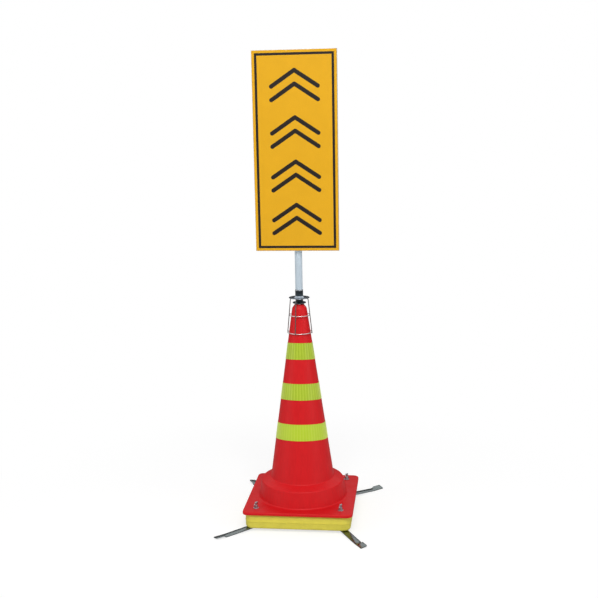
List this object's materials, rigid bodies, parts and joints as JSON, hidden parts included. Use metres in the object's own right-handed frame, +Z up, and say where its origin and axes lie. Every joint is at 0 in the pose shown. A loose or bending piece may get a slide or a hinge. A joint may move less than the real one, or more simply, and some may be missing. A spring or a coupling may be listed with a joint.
{
  "type": "cone sign",
  "caption": "Tall sign board on a pole that stands on a traffic cone's tip, with reflective bands, a ballast tank under the cone and swing-out legs.",
  "frame": {"origin": "on the ground under the cone's axis, at the centre of the legs' footprint", "axes": "+Z up along the cone and the pole, the board faces -Y, +X to the viewer's right"},
  "size_m": [0.5564, 0.5804, 1.622],
  "materials": {
    "tank_yellow": "blow-moulded plastic, satin",
    "filling": "filling, stands in for water",
    "rubber_black": "matt rubber",
    "cone_red": "moulded soft plastic, satin",
    "band_lime": "prismatic reflective film",
    "zinc_steel": "zinc plated",
    "dark_steel": "plated, darkened",
    "bright_steel": "bright plated",
    "leg_steel": "bright rolled steel",
    "pole_metal": "pale coated tube",
    "white_nylon": "moulded nylon",
    "cap_plastic": "moulded plastic",
    "board_metal": "zinc-coated sheet",
    "face_yellow": "reflective film"
  },
  "bodies": {
    "base": {"weight_tank": "tank_yellow", "ballast_fill": "filling", "filler_neck": "tank_yellow", "filler_gasket": "rubber_black", "cone_shell": "cone_red", "cone_tip": "cone_red", "band_upper": "band_lime", "band_middle": "band_lime", "band_lower": "band_lime", "corner_bolts": "zinc_steel", "corner_washers": "zinc_steel", "tip_bush": "white_nylon"},
    "leg_front_right": {"leg_front_right": "leg_steel"},
    "leg_rear_right": {"leg_rear_right": "leg_steel"},
    "leg_rear_left": {"leg_rear_left": "leg_steel"},
    "leg_front_left": {"leg_front_left": "leg_steel"},
    "wing_nut_front_right": {"wing_nut_front_right": "zinc_steel"},
    "wing_nut_rear_right": {"wing_nut_rear_right": "zinc_steel"},
    "wing_nut_rear_left": {"wing_nut_rear_left": "zinc_steel"},
    "wing_nut_front_left": {"wing_nut_front_left": "zinc_steel"},
    "filler_cap": {"filler_cap": "tank_yellow"},
    "seat_washer": {"seat_washer": "dark_steel"},
    "sign_head": {"stud": "zinc_steel", "spring_washer": "dark_steel", "lower_nuts": "dark_steel", "cage_disc": "bright_steel", "cage_wires": "bright_steel", "cage_hoop_upper": "bright_steel", "cage_hoop_lower": "bright_steel", "upper_nut": "dark_steel", "pole_plug": "bright_steel", "pole_tube": "pole_metal", "pole_cap": "cap_plastic", "board_panel": "board_metal", "face_sheet": "face_yellow", "rail_upper": "board_metal", "rail_lower": "board_metal", "saddle_upper": "bright_steel", "saddle_lower": "bright_steel", "saddle_bolts": "zinc_steel", "saddle_nuts": "zinc_steel"}
  },
  "joints": [
    {"name": "leg_swing_front_right", "type": "hinge", "parent": "base", "child": "leg_front_right", "pos_m": [0.147, -0.147, 0.0076], "axis": [0, 0, 1], "range_deg": [-32, 146]},
    {"name": "leg_swing_rear_right", "type": "hinge", "parent": "base", "child": "leg_rear_right", "pos_m": [0.147, 0.147, 0.0076], "axis": [0, 0, 1], "range_deg": [-32, 146]},
    {"name": "leg_swing_rear_left", "type": "hinge", "parent": "base", "child": "leg_rear_left", "pos_m": [-0.147, 0.147, 0.0076], "axis": [0, 0, 1], "range_deg": [-32, 146]},
    {"name": "leg_swing_front_left", "type": "hinge", "parent": "base", "child": "leg_front_left", "pos_m": [-0.147, -0.147, 0.0076], "axis": [0, 0, 1], "range_deg": [-32, 146]},
    {"name": "wing_turn_front_right", "type": "hinge", "parent": "base", "child": "wing_nut_front_right", "pos_m": [0.147, -0.147, 0.0736], "axis": [0, 0, 1], "continuous": true},
    {"name": "wing_turn_rear_right", "type": "hinge", "parent": "base", "child": "wing_nut_rear_right", "pos_m": [0.147, 0.147, 0.0736], "axis": [0, 0, 1], "continuous": true},
    {"name": "wing_turn_rear_left", "type": "hinge", "parent": "base", "child": "wing_nut_rear_left", "pos_m": [-0.147, 0.147, 0.0736], "axis": [0, 0, 1], "continuous": true},
    {"name": "wing_turn_front_left", "type": "hinge", "parent": "base", "child": "wing_nut_front_left", "pos_m": [-0.147, -0.147, 0.0736], "axis": [0, 0, 1], "continuous": true},
    {"name": "cap_turn", "type": "hinge", "parent": "base", "child": "filler_cap", "pos_m": [0, 0.17, 0.0356], "axis": [0, 1, 0], "continuous": true},
    {"name": "head_lift", "type": "slide", "parent": "base", "child": "seat_washer", "axis": [0, 0, 1], "range_m": [0, 0.16]},
    {"name": "sign_swivel", "type": "hinge", "parent": "seat_washer", "child": "sign_head", "pos_m": [0, 0, 0.772], "axis": [0, 0, 1], "continuous": true}
  ]
}
